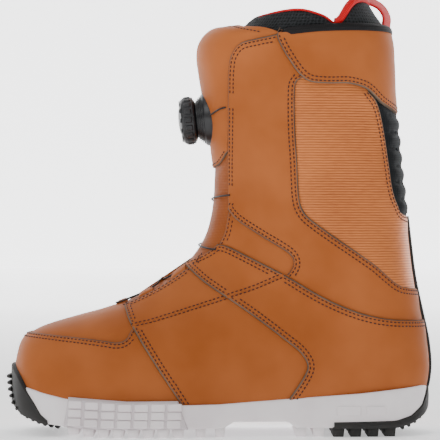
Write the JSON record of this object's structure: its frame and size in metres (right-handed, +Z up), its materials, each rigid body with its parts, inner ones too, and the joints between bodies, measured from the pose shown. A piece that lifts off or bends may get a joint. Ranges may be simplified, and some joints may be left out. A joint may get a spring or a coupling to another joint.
{
  "type": "snowboard boot",
  "caption": "Ankle-high soft boot with panelled shell, removable liner, swinging tongue and dial-and-cable closure on a lugged foam sole, for the left foot.",
  "frame": {"origin": "on the ground, under the middle of the boot's length and width", "axes": "+Z up; the toe points to -X and the lateral side is -Y"},
  "size_m": [0.2987, 0.11, 0.3075],
  "materials": {
    "tan_leather": "matt synthetic nubuck",
    "copper_fabric": "coated ripstop, slight sheen",
    "white_foam": "matt moulded foam",
    "black_rubber": "matt rubber",
    "black_mesh": "spacer mesh",
    "black_plastic": "moulded nylon",
    "fibre_board": "pressed fibre board",
    "red_webbing": "woven tape",
    "steel_cable": "nylon-coated stranded steel",
    "steel_part": "plain steel"
  },
  "bodies": {
    "boot": {"toe_cap": "tan_leather", "vamp": "tan_leather", "collar_panel": "tan_leather", "achilles_bellows": "black_mesh", "midfoot_panel_lateral": "tan_leather", "midfoot_panel_medial": "tan_leather", "instep_panel_lateral": "tan_leather", "instep_panel_medial": "tan_leather", "ankle_strap_lateral": "tan_leather", "ankle_strap_medial": "tan_leather", "heel_quarter_lateral": "tan_leather", "heel_quarter_medial": "tan_leather", "ankle_insert_lateral": "tan_leather", "ankle_insert_medial": "tan_leather", "shaft_quarter_lateral": "tan_leather", "shaft_quarter_medial": "tan_leather", "rear_panel_lateral": "copper_fabric", "rear_panel_medial": "copper_fabric", "throat_strip": "copper_fabric", "backstay_strip": "black_rubber", "toe_puff": "fibre_board", "heel_counter": "fibre_board", "shell_lining": "black_mesh", "collar_binding": "black_mesh", "liner_shell": "black_mesh", "liner_tongue": "black_mesh", "footbed": "fibre_board", "pull_loop": "red_webbing", "lasting_board": "fibre_board", "shank": "black_plastic", "heel_pad": "white_foam", "midsole": "white_foam", "toe_rubber": "black_rubber", "heel_rubber": "black_rubber", "forefoot_tread": "white_foam", "heel_tread_insert": "white_foam", "cable_dial_lateral": "steel_cable", "guide_front_lateral": "tan_leather", "guide_rear_lateral": "tan_leather", "cable_dial_medial": "steel_cable", "guide_front_medial": "tan_leather", "guide_rear_medial": "tan_leather", "guide_toe": "tan_leather", "cable_upper": "steel_cable", "cable_lower": "steel_cable", "cable_cross_under": "steel_cable", "cable_cross_over": "steel_cable", "cable_toe": "steel_cable"},
    "tongue": {"tongue_overlay": "tan_leather", "tongue_body": "copper_fabric", "tongue_lining": "black_mesh", "dial_flange": "black_rubber", "dial_housing": "black_plastic", "dial_screw": "steel_part"},
    "spool": {"dial_spool": "black_plastic"},
    "knob": {"dial_knob": "black_plastic", "dial_grip": "black_rubber", "dial_cap": "black_plastic", "dial_pawl_ring": "steel_part"}
  },
  "joints": [
    {"name": "tongue_open", "type": "hinge", "parent": "boot", "child": "tongue", "pos_m": [-0.0265, 0, 0.1175], "axis": [0, -1, 0], "range_deg": [0, 25], "deforming": ["cable_dial_lateral", "cable_dial_medial", "cable_upper", "cable_lower"]},
    {"name": "dial_turn", "type": "hinge", "parent": "tongue", "child": "spool", "pos_m": [-0.00867, 0, 0.223], "axis": [-0.9945, 0, -0.1045], "continuous": true},
    {"name": "dial_pull", "type": "slide", "parent": "spool", "child": "knob", "axis": [-0.9945, 0, -0.1045], "range_m": [0, 0.003]}
  ]
}
